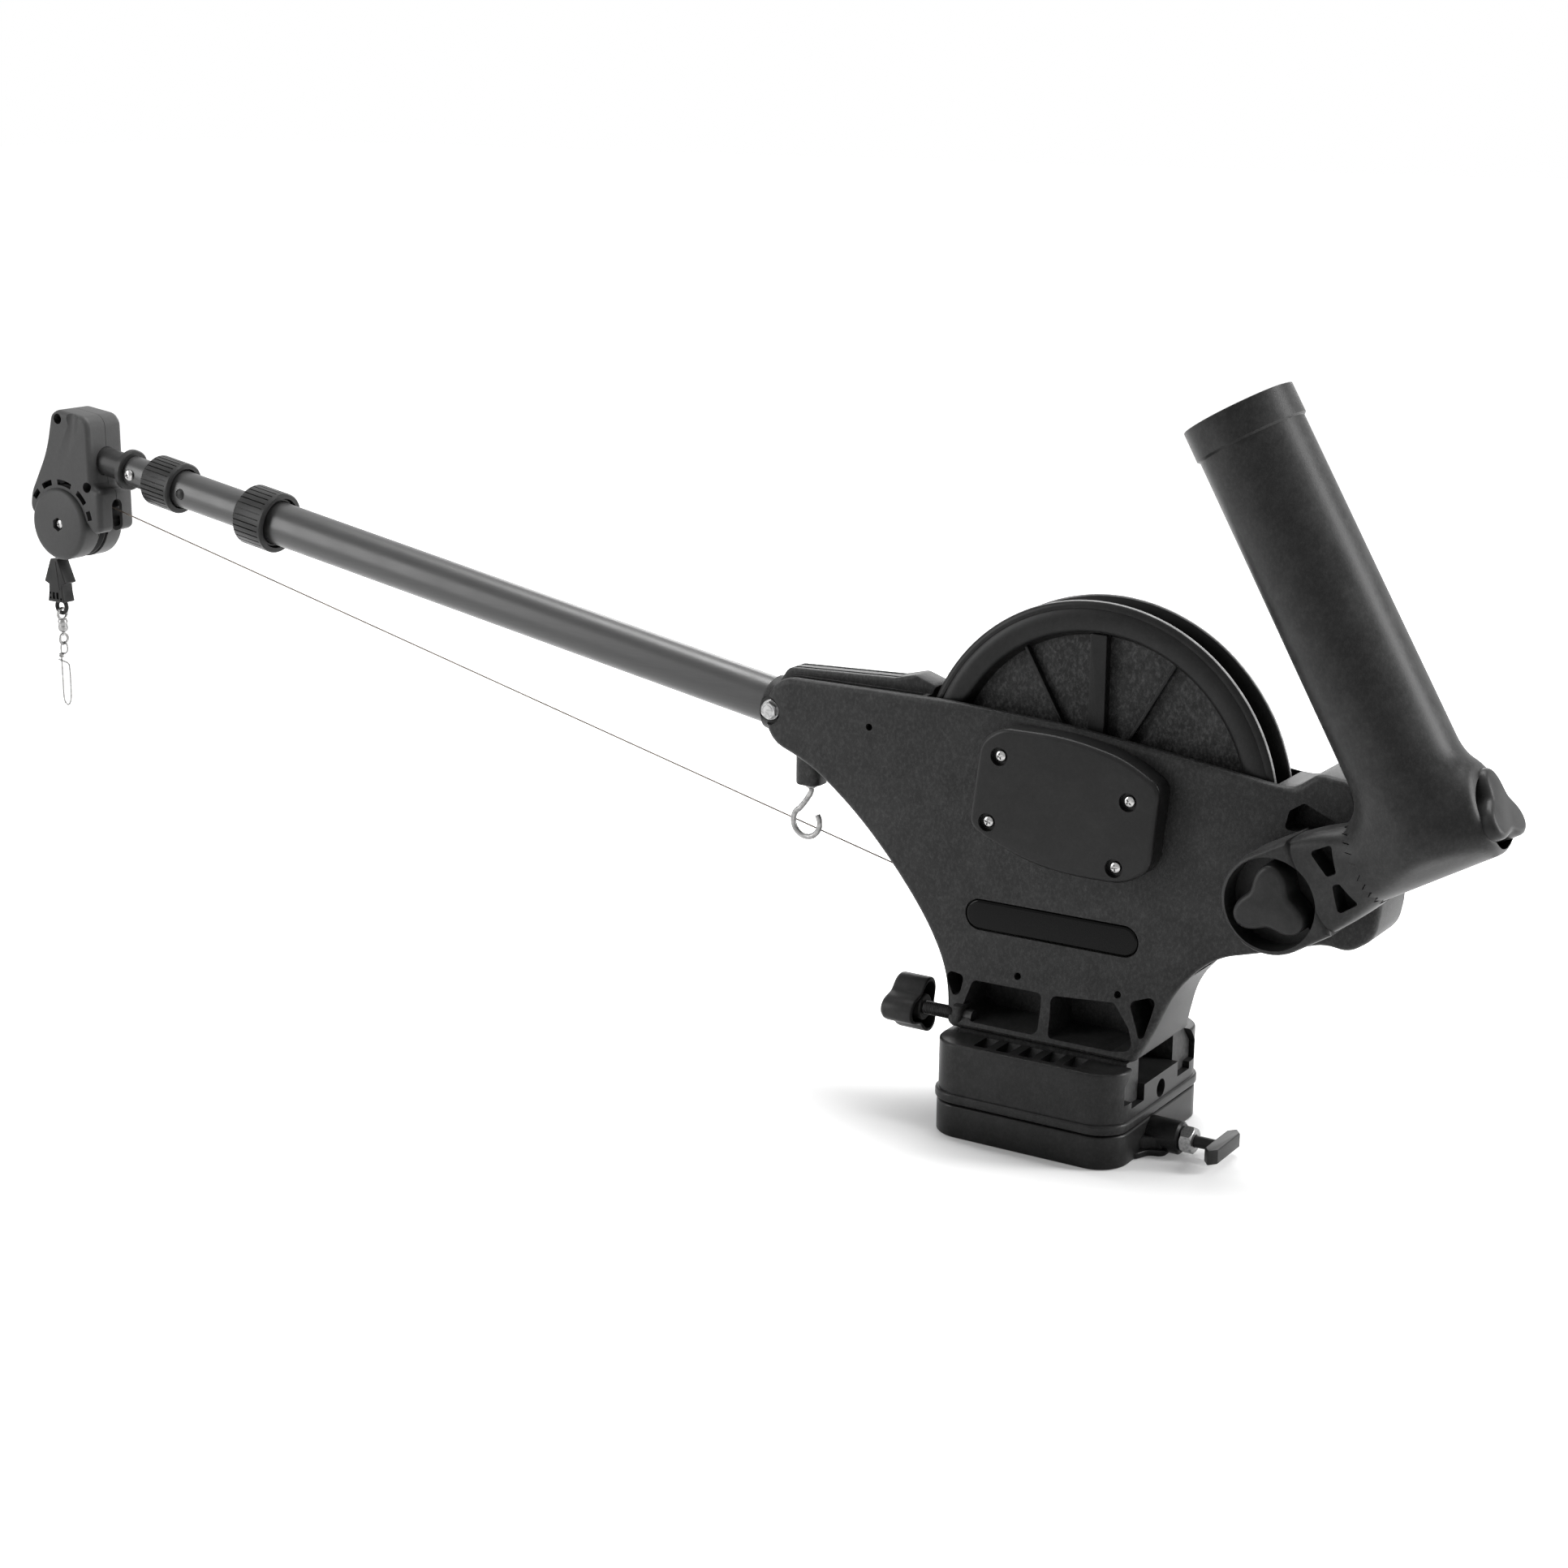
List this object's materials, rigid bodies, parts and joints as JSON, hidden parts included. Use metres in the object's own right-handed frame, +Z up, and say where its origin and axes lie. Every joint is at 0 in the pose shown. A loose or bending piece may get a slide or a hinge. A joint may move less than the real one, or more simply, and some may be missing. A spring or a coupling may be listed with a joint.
{
  "type": "downrigger",
  "caption": "Manual trolling downrigger: a reel of wire cable in a swivelling frame, a telescoping boom with a pulley head, and a tilting rod holder.",
  "frame": {"origin": "centre of the mount base's underside, on the deck", "axes": "+Z up, +X to the rear where the user stands, the boom points to -X and the side cover faces -Y"},
  "size_m": [1.0729, 0.1474, 0.4373],
  "materials": {
    "frame_plastic": "moulded, fine matte texture",
    "dark_plastic": "moulded, satin",
    "gloss_black": "gloss",
    "anodised_tube": "dark satin anodised",
    "bright_steel": "polished",
    "zinc_steel": "zinc plated",
    "cable_steel": "stranded wire",
    "bushing_plastic": "plain moulded",
    "white_plastic": "plain moulded",
    "clear_lens": "clear"
  },
  "bodies": {
    "mount": {"mount_base": "dark_plastic", "lock_pin_nut": "zinc_steel", "swivel_bolt": "zinc_steel"},
    "lock_pin": {"lock_pin": "dark_plastic"},
    "frame": {"swivel_base": "frame_plastic", "frame": "frame_plastic", "badge_plate": "gloss_black", "boom_bolt": "zinc_steel", "boom_nut": "zinc_steel", "weight_hook": "bright_steel", "base_clamp_stud": "zinc_steel", "side_cover": "frame_plastic", "cover_screw_1": "bright_steel", "cover_screw_2": "bright_steel", "cover_screw_3": "bright_steel", "cover_screw_4": "bright_steel", "pawl_pin": "bright_steel", "near_bushing": "bushing_plastic", "far_bushing": "bushing_plastic", "counter_housing": "dark_plastic", "counter_lens": "clear_lens", "counter_shaft": "bright_steel", "boom_outer_tube": "anodised_tube", "arm_bolt": "zinc_steel", "cable_run": "cable_steel"},
    "base_clamp": {"base_clamp_knob": "dark_plastic"},
    "pawl": {"pawl": "zinc_steel"},
    "reel": {"reel_near_half": "dark_plastic", "reel_far_half": "dark_plastic", "cable_winding": "cable_steel", "reel_shaft": "bright_steel", "ratchet_wheel": "zinc_steel", "clutch_lining": "bushing_plastic", "crank_arm": "dark_plastic", "crank_spindle": "bright_steel"},
    "clutch": {"clutch_knob": "dark_plastic"},
    "crank_grip": {"crank_knob": "dark_plastic"},
    "digits_1": {"counter_wheel_1": "white_plastic"},
    "digits_2": {"counter_wheel_2": "white_plastic"},
    "digits_3": {"counter_wheel_3": "white_plastic"},
    "rear_collar": {"rear_lock_collar": "dark_plastic"},
    "middle_boom": {"boom_middle_tube": "anodised_tube", "lock_button": "dark_plastic"},
    "front_collar": {"front_lock_collar": "dark_plastic"},
    "inner_boom": {"boom_inner_tube": "anodised_tube", "neck_screw": "bright_steel"},
    "head": {"head_neck": "dark_plastic", "head_near_shell": "dark_plastic", "head_far_shell": "dark_plastic", "pulley_axle": "bright_steel"},
    "pulley": {"pulley": "white_plastic"},
    "cable_end": {"cable_drop": "cable_steel", "terminator": "dark_plastic", "barrel_swivel": "bright_steel"},
    "snap": {"swivel_eye": "bright_steel", "snap": "bright_steel"},
    "rod_arm": {"rod_arm": "frame_plastic"},
    "rod_tube": {"rod_tube": "frame_plastic"},
    "arm_knob": {"arm_knob": "dark_plastic"},
    "tube_knob": {"tube_knob": "dark_plastic"}
  },
  "joints": [
    {"name": "swivel", "type": "hinge", "parent": "mount", "child": "frame", "pos_m": [0, 0, 0.02], "axis": [0, 0, 1], "range_deg": [-180, 180]},
    {"name": "lock_pin_pull", "type": "slide", "parent": "mount", "child": "lock_pin", "axis": [1, 0, 0], "range_m": [-0.005, 0]},
    {"name": "base_clamp_turn", "type": "hinge", "parent": "frame", "child": "base_clamp", "pos_m": [-0.077, -0.03, 0.0628], "axis": [-1, 0, 0], "range_deg": [-60, 60]},
    {"name": "reel_spin", "type": "hinge", "parent": "frame", "child": "reel", "pos_m": [0.0157, 0, 0.1988], "axis": [0, 1, 0], "continuous": true},
    {"name": "clutch_turn", "type": "hinge", "parent": "reel", "child": "clutch", "pos_m": [0.0157, 0.032, 0.1988], "axis": [0, 1, 0], "range_deg": [-60, 60]},
    {"name": "crank_grip_spin", "type": "hinge", "parent": "reel", "child": "crank_grip", "pos_m": [0.05889, 0.05, 0.11757], "axis": [0, 1, 0], "continuous": true},
    {"name": "pawl_turn", "type": "hinge", "parent": "frame", "child": "pawl", "pos_m": [-0.0113, -0.024, 0.1908], "axis": [0, -1, 0], "range_deg": [0, 20]},
    {"name": "digits_1_spin", "type": "hinge", "parent": "frame", "child": "digits_1", "pos_m": [-0.1348, 0.0295, 0.212], "axis": [1, 0, 0], "continuous": true},
    {"name": "digits_2_spin", "type": "hinge", "parent": "frame", "child": "digits_2", "pos_m": [-0.124, 0.0295, 0.212], "axis": [1, 0, 0], "continuous": true},
    {"name": "digits_3_spin", "type": "hinge", "parent": "frame", "child": "digits_3", "pos_m": [-0.1132, 0.0295, 0.212], "axis": [1, 0, 0], "continuous": true},
    {"name": "rear_collar_twist", "type": "hinge", "parent": "frame", "child": "rear_collar", "pos_m": [-0.1932, 0, 0.2209], "axis": [-0.9842, 0, 0.1771], "range_deg": [0, 60]},
    {"name": "boom_middle_slide", "type": "slide", "parent": "frame", "child": "middle_boom", "axis": [-0.9842, 0, 0.1771], "range_m": [0, 0.34], "deforming": ["cable_run"]},
    {"name": "front_collar_twist", "type": "hinge", "parent": "middle_boom", "child": "front_collar", "pos_m": [-0.1932, 0, 0.2209], "axis": [-0.9842, 0, 0.1771], "range_deg": [0, 60]},
    {"name": "boom_inner_slide", "type": "slide", "parent": "middle_boom", "child": "inner_boom", "axis": [-0.9842, 0, 0.1771], "range_m": [0, 0.34], "deforming": ["cable_run"]},
    {"name": "head_swivel", "type": "hinge", "parent": "inner_boom", "child": "head", "pos_m": [-0.1932, 0, 0.2209], "axis": [-0.9842, 0, 0.1771], "range_deg": [-20, 20], "deforming": ["cable_run"]},
    {"name": "pulley_spin", "type": "hinge", "parent": "head", "child": "pulley", "pos_m": [-0.7765, 0, 0.276], "axis": [0, 1, 0], "continuous": true},
    {"name": "terminator_drop", "type": "slide", "parent": "head", "child": "cable_end", "axis": [0, 0, -1], "range_m": [0, 0.3], "deforming": ["cable_drop"]},
    {"name": "barrel_spin", "type": "hinge", "parent": "cable_end", "child": "snap", "pos_m": [-0.79748, 0, 0.19], "axis": [0, 0, 1], "continuous": true},
    {"name": "rod_arm_tilt", "type": "hinge", "parent": "frame", "child": "rod_arm", "pos_m": [0.141, 0, 0.169], "axis": [0, -1, 0], "range_deg": [-45, 20]},
    {"name": "rod_tube_turn", "type": "hinge", "parent": "rod_arm", "child": "rod_tube", "pos_m": [0.141, -0.0416, 0.169], "axis": [0.866, 0, 0.5], "range_deg": [-90, 90]},
    {"name": "arm_knob_turn", "type": "hinge", "parent": "rod_arm", "child": "arm_knob", "pos_m": [0.141, -0.0426, 0.169], "axis": [0, -1, 0], "range_deg": [-60, 60]},
    {"name": "tube_knob_turn", "type": "hinge", "parent": "rod_arm", "child": "tube_knob", "pos_m": [0.141, -0.0416, 0.169], "axis": [0.866, 0, 0.5], "range_deg": [-60, 60]}
  ],
  "couplings": [
    {"joint": "pulley_spin", "follows": "reel_spin", "ratio": -4.443},
    {"joint": "digits_3_spin", "follows": "reel_spin", "ratio": 0.2},
    {"joint": "digits_2_spin", "follows": "reel_spin", "ratio": 0.02},
    {"joint": "digits_1_spin", "follows": "reel_spin", "ratio": 0.002}
  ]
}
